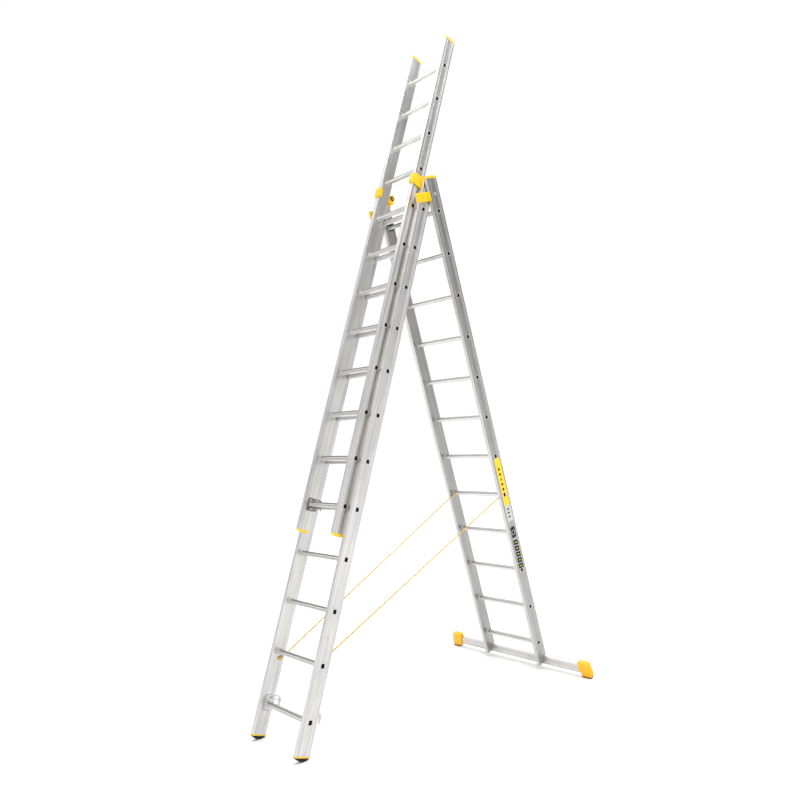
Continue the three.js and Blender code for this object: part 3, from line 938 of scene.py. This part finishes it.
def rung_mesh(section, seat):
    """A hollow rung, swaged against the stile at seat and flared over its outer web."""
    full = rung_outline()
    slim = undercut(full)

    def ring(x, growth, outline):
        wide, tall = 1 + growth / HALF_DEPTH, 1 + growth / HALF_HEIGHT
        return [(x, y * wide, z * tall) for y, z in outline]

    web = section.web
    outside = [
        (seat - 0.019, 0, slim), (seat - COLLAR_REACH, 0, full),
        (seat - COLLAR_REACH * 0.7, COLLAR_SWELL * 0.75, full),
        (seat - COLLAR_REACH * 0.35, COLLAR_SWELL, full), (seat - 0.0002, COLLAR_SWELL * 0.9, full),
        (seat - 0.0001, 0, full), (web, 0, full), (web + 0.0001, FLARE * 0.9, full),
        (web + FLARE_THICKNESS * 0.6, FLARE, full), (web + FLARE_THICKNESS, FLARE * 0.6, full),
        (web + FLARE_THICKNESS, -RUNG_WALL * 0.6, full),
    ]
    inside = [
        (web + FLARE_THICKNESS * 0.4, -RUNG_WALL, full), (web - 0.004, -RUNG_WALL, full),
        (seat - 0.006, -RUNG_WALL, full), (seat - 0.021, -RUNG_WALL, slim),
    ]
    rings = [ring(-x, growth, outline) for x, growth, outline in reversed(outside)]
    rings += [ring(x, growth, outline) for x, growth, outline in outside]
    outer_rows = len(rings)
    rings += [ring(x, growth, outline) for x, growth, outline in inside]
    rings += [ring(-x, growth, outline) for x, growth, outline in reversed(inside)]
    mesh = swept(f"{section.name}_rung", rings, wrap=True)
    count = len(outside)
    collars = {*range(count + 1, count + 5), *range(count - 6, count - 2)}
    for polygon in mesh.polygons:
        row = polygon.index // len(full)
        # Bore faces take the near-black painted shadow.
        if outer_rows <= row < len(rings) - 1:
            polygon.material_index = 1
        # Collar rows take a painted highlight.
        elif row in collars:
            polygon.material_index = 2
        # The tread lip's front and back faces take painted shade.
        elif polygon.center.z > HALF_HEIGHT - LIP_HEIGHT and abs(polygon.normal.y) > 0.5:
            polygon.material_index = 3
    return shaded(mesh, math.radians(40))


def add_rungs():
    """Twelve rungs a section. The lowest one ends at the hook plates, if there are any."""
    for section in (base, middle, top):
        plain = rung_mesh(section, section.inner)
        hooked = section is not base
        hook_gap = 0
        if hooked:
            hook_gap = section.inner - section.box(f"{section.name}_rung_hook_right")[0].x
        lowest = rung_mesh(section, section.inner - hook_gap)
        for number in range(RUNG_COUNT):
            node = f"{section.name}_rung_{number + 1:02d}"
            piece = add(
                f"{node}_tube", lowest if hooked and number == 0 else plain,
                section, ("aluminium", [rung_metal, bore_painted_shadow, collar_painted_highlight_metal, lip_painted_shade_metal]), [node],
            )
            piece.matrix_world = section.matrix @ Matrix.Translation((0, 0, number * section.pitch))


# ---- end caps and feet

def bowed(half, level_top, level_bottom, sag, count=18, tread=0.0):
    """An outline with a flat top and a bowed underside, cut by shallow treads if asked."""
    radius = (half * half + sag * sag) / (2 * abs(sag))
    reach = math.asin(half / radius)
    points = [(half, level_top), (-half, level_top)]
    for step in range(count + 1):
        angle = -reach + 2 * reach * step / count
        cut = tread if tread and step % 4 in (2, 3) and 2 < step < count - 1 else 0
        rise = level_bottom + sag + radius - (radius - cut) * math.cos(angle)
        points.append(((radius - cut) * math.sin(angle), rise))
    return points


def add_end_caps():
    """Domed caps on the heads of the top and base sections, and under the top section."""
    for section in (top, base):
        half = section.half + CAP_SKIRT
        dome = bowed(half, 0, -CAP_RIM, CAP_RIM - CAP_HEIGHT)
        outline = [(-y, section.top - CAP_HEIGHT - z) for y, z in dome]
        inner, outer = section.inner - CAP_SKIRT, section.outer + CAP_SKIRT
        mesh = plate("cap", outline, inner, outer, ease=0.002)
        add_pair(f"{section.name}_head_cap", mesh, section, yellow)
    half = top.half + CAP_SKIRT
    outline = bowed(half, top.bottom + 0.004, top.bottom, -0.013)
    mesh = plate("cap", outline, top.inner - CAP_SKIRT, top.outer + CAP_SKIRT, ease=0.0016)
    add_pair("top_foot_cap", mesh, top, yellow)


def add_front_feet():
    """A thin yellow liner and a bowed black sole under each middle stile."""
    low, high = middle.box("front_foot_right")
    liner_top = middle.bottom - 0.0003
    liner_bottom = liner_top - LINER_HEIGHT
    half = middle.half - 0.0004
    liner = plate(
        "liner", box_outline((-half, liner_bottom), (half, liner_top), 0.0015), low.x - 0.0004,
        high.x + 0.0004, ease=0.0012,
    )
    add_pair("front_foot_liner", liner, middle, yellow)
    sag = low.z + 0.0003 - liner_bottom
    outline = bowed(half - 0.0006, liner_bottom, liner_bottom, sag, 4 * SOLE_TREADS, TREAD_CUT)
    sole = plate("sole", outline, low.x, high.x, ease=0.0012)
    add_pair("front_foot_sole", sole, middle, rubber, "front_foot")


def add_stabiliser():
    """The bar across the base section's foot, with a boot and a pad at each end."""
    low, high = base.box("stabiliser_bar")
    outline = box_outline((low.y, low.z), (high.y, high.z), 0.004, 5)
    bore_low, bore_high = (low.y + BAR_WALL, low.z + BAR_WALL), (high.y - BAR_WALL, high.z - BAR_WALL)
    bore = box_outline(bore_low, bore_high, 0.002, 5)
    rings = [
        [(place, y, z) for y, z in loop]
        for place, loop in ((low.x, outline), (high.x, outline), (high.x, bore), (low.x, bore))
    ]
    bar = shaded(swept("bar", rings, wrap=True), math.radians(40))
    add("stabiliser_bar_tube", bar, base, ("aluminium", [bar_metal]), ["stabiliser_bar"])
    boot = eased_copy("stabiliser_boot_right", base, 0.0028)
    add_pair("stabiliser_boot_shell", boot, base, orange, "stabiliser_boot")
    low, high = base.box("stabiliser_boot_right")
    pad = plate(
        "pad",
        box_outline((low.y - 0.0006, low.z + 0.0002), (high.y + 0.0006, low.z + BOOT_PAD), 0.002),
        low.x + BOOT_INSET + 0.005, high.x - 0.003, ease=0.0016,
    )
    add_pair("stabiliser_boot_pad", pad, base, rubber)
    levels = [low.z + 0.028 + 0.011 * number for number in range(3)]
    outlines = [
        box_outline((low.y - 0.0007, level), (high.y + 0.0007, level + 0.003), 0.001)
        for level in levels
    ]
    ribs = rib_set(outlines, low.x + BOOT_INSET + 0.003, high.x - 0.004)
    add_pair("stabiliser_boot_ribs", ribs, base, orange)


# ---- head fittings

def dome_rivet(name, centre, radius, axis=(1, 0, 0)):
    """A domed rivet head."""
    height = radius * 0.42
    profile = [(radius, 0), (radius, height * 0.2)]
    for step in range(1, 6):
        angle = math.pi / 2 * step / 6
        profile.append((radius * math.cos(angle), height * (0.2 + 0.8 * math.sin(angle))))
    profile.append((radius * 0.08, height))
    return lathed(name, profile, centre, axis)


def hex_bolt(name, centre, radius, axis=(1, 0, 0)):
    """A washer and a chamfered hexagon head, with a short stub of thread."""
    washer = lathed(
        name, [(radius * 1.25, 0), (radius * 1.25, 0.0009), (radius * 1.15, WASHER)], centre, axis,
    )
    start = Vector(centre) + Vector(axis) * WASHER
    head = lathed(
        name, [(radius, 0), (radius, 0.0042), (radius * 0.88, 0.0052), (radius * 0.5, 0.0052)],
        start, axis, 6,
    )
    thread = [(radius * 0.42, 0), (radius * 0.42, 0.0062), (radius * 0.34, 0.0068)]
    stub = lathed(name, thread, start, axis, 16)
    return shaded(joined(name, [washer, head, stub]), math.radians(25))


def add_guides():
    """The moulded guides on the head of the middle section, with their inner rollers."""
    mesh = eased_copy("guide_bracket_right", middle, 0.0016)
    add_pair("guide_bracket_moulding", mesh, middle, yellow, "guide_bracket")
    low, high = middle.box("guide_bracket_right")
    centre_y, centre_z = 0.007, high.z - 0.0355
    boss = slot_outline((centre_y, centre_z - 0.016), (centre_y, centre_z + 0.016), 0.0175)
    inner = low.x
    mesh = plate("boss", boss, inner - ROLLER_SEAT, inner + 0.004, ease=0.0012)
    add_pair("guide_roller_boss", mesh, middle, yellow)
    place = (inner - ROLLER_SEAT, centre_y - 0.005, centre_z + 0.005)
    profile = [(0.0158, 0), (0.0158, 0.0018), (0.0146, 0.0026), (0.0055, 0.0026)]
    ring = lathed("ring", profile, place, (-1, 0, 0))
    add_pair("guide_roller", ring, middle, rubber)
    bolt = dome_rivet("bolt", (place[0] - 0.0026, place[1], place[2]), 0.0062, (-1, 0, 0))
    add_pair("guide_roller_bolt", bolt, middle, zinc)


def add_hinge_arms():
    """The moulded arms on the base section's head, ribbed inside."""
    mesh = eased_copy("hinge_arm_right", base, 0.0014)
    add_pair("hinge_arm_moulding", mesh, base, yellow, "hinge_arm")
    low, high = base.box("hinge_arm_right")
    fronts = [low.y + 0.018 + 0.021 * number for number in range(4)]
    outlines = [
        box_outline((front, low.z + 0.008), (front + 0.012, high.z - 0.008), 0.003)
        for front in fronts
    ]
    ribs = rib_set(outlines, base.inner + 0.006, base.inner + 0.0091)
    add_pair("hinge_arm_ribs", ribs, base, yellow)


# ---- hooks and catches

def hook_plate(section, hook_node, caught, windows, metal):
    """A pressed hook plate with windows, cut to its CAD node's reach.

    Caught is the centre of the rung that it hooks over, in the section's frame.
    """
    low, high = section.box(hook_node)
    seat = caught.z + HALF_HEIGHT + 0.0005
    tip_front = caught.y + HALF_DEPTH + 0.0015
    seat_front = caught.y - HALF_DEPTH - 0.0015
    corners = [
        (low.y, low.z), (low.y, high.z), (high.y - 0.016, high.z), (high.y, high.z - 0.016),
        (high.y, seat - 0.030), (high.y - 0.006, seat - 0.036), (tip_front, seat - 0.030),
        (tip_front, seat), (seat_front, seat), (seat_front, low.z + 0.009),
        (seat_front - 0.009, low.z),
    ]
    radii = [0.005, 0.007, 0.012, 0.01, 0.004, 0.003, 0.003, 0.003, 0.003, 0.006, 0.006]
    outline = filleted(corners, radii, 4)
    holes = [around_rung(0, RUNG_PLAY), *windows]
    mesh = plate("hook", outline, low.x, high.x, holes, ease=0.0007)
    name = hook_node.removesuffix("_right")
    add_pair(f"{name}_plate", mesh, section, metal, name)


def rung_behind(section, other, number):
    """The centre of a rung of the section behind, in this section's frame."""
    point = other.matrix @ Vector((0, 0, (number - 1) * other.pitch))
    return section.matrix.inverted() @ point


def add_hooks():
    """Hook plates on the two upper sections, and the top section's catches."""
    high = middle.box("middle_rung_hook_right")[1]
    nested = top.half + HALF_DEPTH + 0.001
    windows = [
        slot_outline((nested - 0.012, high.z - 0.013), (nested + 0.006, high.z - 0.013), 0.0055),
        slot_outline((0.002, high.z - 0.012), (0.02, high.z - 0.012), 0.004),
        disc((-0.012, -0.031), 0.0032), disc((0.014, -0.031), 0.0032),
    ]
    behind = Vector((0, nested, 0.008))
    hook_plate(middle, "middle_rung_hook_right", behind, windows, zinc)
    high = top.box("top_rung_hook_right")[1]
    behind = rung_behind(top, middle, 5)
    windows = [
        filleted(
            [(-0.008, high.z - 0.020), (-0.008, high.z - 0.006), (0.022, high.z - 0.006)], 0.003, 4,
        ),
        slot_outline((nested - 0.02, high.z - 0.011), (nested - 0.004, high.z - 0.011), 0.004),
        disc((-0.011, -0.031), 0.0032),
    ]
    hook_plate(top, "top_rung_hook_right", behind, windows, dark_zinc)
    for side in ("right", "left"):
        node = f"hook_catch_{side}"
        mesh = eased_copy(node, top, 0.0011)
        add(f"{node}_pawl", mesh, Catch(side), dark_zinc, [node])
        low, high = top.box(node)
        sign = 1 if side == "right" else -1
        inner = low.x if side == "right" else high.x
        rivet = dome_rivet("rivet", (inner, 0, -0.028), 0.005, (-sign, 0, 0))
        add(f"{node}_rivet", rivet, Catch(side), zinc)


# ---- fasteners and marks

def add_fasteners():
    """Bolts and rivets in the stiles, and a black slot-shaped mark on the middle stiles' inner faces.
    """
    pivot_rise = pivot_place(base)[1]
    for name, section, place, maker, radius in (
        ("arm_bolt", base, (0.0, pivot_rise + 0.019), hex_bolt, BOLT_RADIUS),
        ("bar_bolt", base, BAR_BOLT_PLACE, hex_bolt, BAR_BOLT_RADIUS),
        ("stile_rivet", middle, (-0.006, 0.42), dome_rivet, RIVET_RADIUS),
    ):
        mesh = maker(name, (section.web, *place), radius)
        add_pair(name, mesh, section, zinc)
    place = (base.inner, *BAR_BOLT_PLACE)
    inner_bolt = hex_bolt("inner_bolt", place, BAR_BOLT_RADIUS, (-1, 0, 0))
    add_pair("bar_bolt_inner", inner_bolt, base, zinc)
    # A thin black slot shape laid on each middle stile's inner face.
    slot_mark = plate(
        "slot", slot_outline((0.02, 3.108), (0.02, 3.134), 0.0035), middle.inner - 0.0006,
        middle.inner + 0.001, ease=0.0003,
    )
    add_pair("pivot_slot_dark_mark", slot_mark, middle, black_plastic)


def add_rung_bush():
    """Black bushes that hold the base section's highest rung from behind, by its stiles."""
    rise = (RUNG_COUNT - 1) * base.pitch
    clear = 0.0022
    low, high = rise - HALF_HEIGHT - clear, rise + HALF_HEIGHT + clear
    front, rear, back = -HALF_DEPTH + 0.0005, HALF_DEPTH + clear, HALF_DEPTH + 0.006
    corners = [
        (front, high), (rear, high), (rear, low), (front, low),
        (front, low - 0.004), (back, low - 0.004), (back, high + 0.01), (front, high + 0.01),
    ]
    outline = filleted(corners, 0.0015)
    mesh = plate("bush", outline, base.inner - 0.024, base.inner - 0.0003, ease=0.0008)
    add_pair("head_rung_bush", mesh, base, black_plastic)


def film(outline, layer, holes=()):
    """A thin film on the base section's right web. Layer 1 lies on layer 0."""
    start = base.web + RIB_HEIGHT + layer * FILM_THICKNESS
    return plate("film", outline, start, start + FILM_THICKNESS, holes, ease=0.00003)


def pictograms(level):
    """Five plain marks in a column: discs, squares and triangles, with no wording."""
    marks = []
    for number in range(5):
        rise = level + MARK_PITCH * number
        if number % 3 == 0:
            marks.append(disc((0, rise), 0.0105))
        elif number % 3 == 1:
            marks.append(box_outline((-0.0095, rise - 0.009), (0.0095, rise + 0.009), 0.002))
        else:
            marks.append([(-0.011, rise - 0.009), (0.011, rise - 0.009), (0, rise + 0.011)])
    return marks


def bold_shapes(level, count):
    """Slanted dark blocks with a lighter inset each."""
    blocks, insets = [], []
    for number in range(count):
        low = level + BLOCK_PITCH * number
        high = low + BLOCK_HEIGHT
        blocks.append([
            (-BLOCK_HALF, low + 0.006), (BLOCK_HALF, low - 0.004),
            (BLOCK_HALF, high - 0.006), (-BLOCK_HALF, high + 0.004),
        ])
        insets.append([
            (-0.010, low + 0.017), (0.011, low + 0.013),
            (0.011, high - 0.017), (-0.010, high - 0.013),
        ])
    return blocks, insets


def add_labels():
    """Plain, text-free labels on the outer web of the base section's right stile."""
    fifth, fourth = 4 * base.pitch, 3 * base.pitch
    half = LABEL_HALF
    outline = box_outline((-half, fifth - 0.075), (half, fifth + 0.262), 0.003)
    yellow_film = film(outline, 0, [around_rung(fifth, WINDOW_CLEAR)])
    add("label_yellow", yellow_film, base, film_yellow)
    white_film = film(box_outline((-half, fifth - 0.195), (half, fifth - 0.0755), 0.003), 0)
    add("label_white", white_film, base, film_white)
    marks = pictograms(fifth + 0.04)
    for number in range(3):
        level = fifth - 0.105 - 0.028 * number
        marks.append(box_outline((-0.011, level - 0.006), (0.009, level + 0.006), 0.002))
    blocks, insets = bold_shapes(fourth - 0.268, 5)
    collar = box_outline((-BLOCK_HALF, fourth - 0.036), (BLOCK_HALF, fourth + 0.042), 0.004)
    dark = [film(mark, 1) for mark in marks]
    dark += [film(block, 0) for block in blocks]
    dark.append(film(collar, 0, [around_rung(fourth, WINDOW_CLEAR)]))
    add("label_dark_shapes", shaded(joined("dark", dark)), base, film_black)
    light = joined("light", [film(inset, 1) for inset in insets])
    add("label_insets", shaded(light), base, film_lime)


# ---- studio

def add_floor():
    """A pale floor, whose far part glows softly so that it runs into the white backdrop."""
    half = FLOOR_HALF
    mesh = swept("floor", [
        [(-half, -half, z), (half, -half, z), (half, half, z), (-half, half, z)]
        for z in (-0.02, -0.0001)
    ])
    floor = linked("floor", mesh)
    graph = Finish("studio_floor")
    clouds = graph.noise(0.8, 2)
    tone = graph.ramp(clouds, (0.3, (0.88, 0.88, 0.88)), (0.7, (0.91, 0.91, 0.91)))
    graph.drive("Base Color", tone)
    reach = graph.add("ShaderNodeVectorMath", {0: graph.place}, operation="LENGTH")
    glow = graph.span(reach.outputs["Value"], 0.04, 0.34, 1.5, 9.0)
    graph.drive("Emission Strength", glow)
    graph.drive("Roughness", 0.9)
    graph.drive("Emission Color", (1, 1, 1, 1))
    mesh.materials.append(graph.material)


def direction_share(graph, vector, limits):
    """How far a direction lies inside the limits: the product of one smooth step per axis."""
    product = None
    for axis, start, end in limits:
        share = graph.span(
            vector.outputs[axis], 0.0, 1.0, start, end, interpolation_type="SMOOTHSTEP",
        )
        product = share if product is None else graph.math("MULTIPLY", product, share)
    return product


def add_world():
    """A white studio, as the camera sees it.

    Reflections also see its banks: a dim one high on the far right darkens the upper webs,
    a softer one on the near left greys the flanges, and the near right is brighter.
    """
    world = bpy.data.worlds.new("studio")
    world.use_nodes = True
    bpy.context.scene.world = world
    graph = Graph(world.node_tree)
    background = graph.tree.nodes["Background"]
    graph.feed(background.inputs["Color"], (1, 1, 1, 1))
    place = graph.add("ShaderNodeTexCoord").outputs["Generated"]
    vector = graph.add("ShaderNodeSeparateXYZ", {"Vector": place})
    strength = WORLD_STRENGTH
    for gain, limits in WORLD_BANKS:
        share = direction_share(graph, vector, limits)
        strength = graph.math("MULTIPLY_ADD", share, gain, strength)
    light_path = graph.add("ShaderNodeLightPath")
    inputs = {"Factor": light_path.outputs["Is Camera Ray"], "A": strength, "B": WORLD_STRENGTH}
    seen = graph.add("ShaderNodeMix", inputs, data_type="FLOAT")
    graph.feed(background.inputs["Strength"], seen.outputs["Result"])


def add_softbox():
    """A wide, soft lamp high over the ladder."""
    light = bpy.data.lights.new("softbox", "AREA")
    light.shape = "RECTANGLE"
    light.size = light.size_y = SOFTBOX_SIZE
    light.energy = SOFTBOX_WATTS
    linked("softbox", light).location = SOFTBOX_PLACE


# ---- the ladder

add_camera()
add_ropes()
add_rope_ends()
add_stiles()
add_rungs()
add_end_caps()
add_front_feet()
add_stabiliser()
add_guides()
add_hinge_arms()
add_hooks()
add_fasteners()
add_rung_bush()
add_labels()
add_floor()
add_world()
add_softbox()
bpy.context.scene.view_settings.view_transform = "Standard"
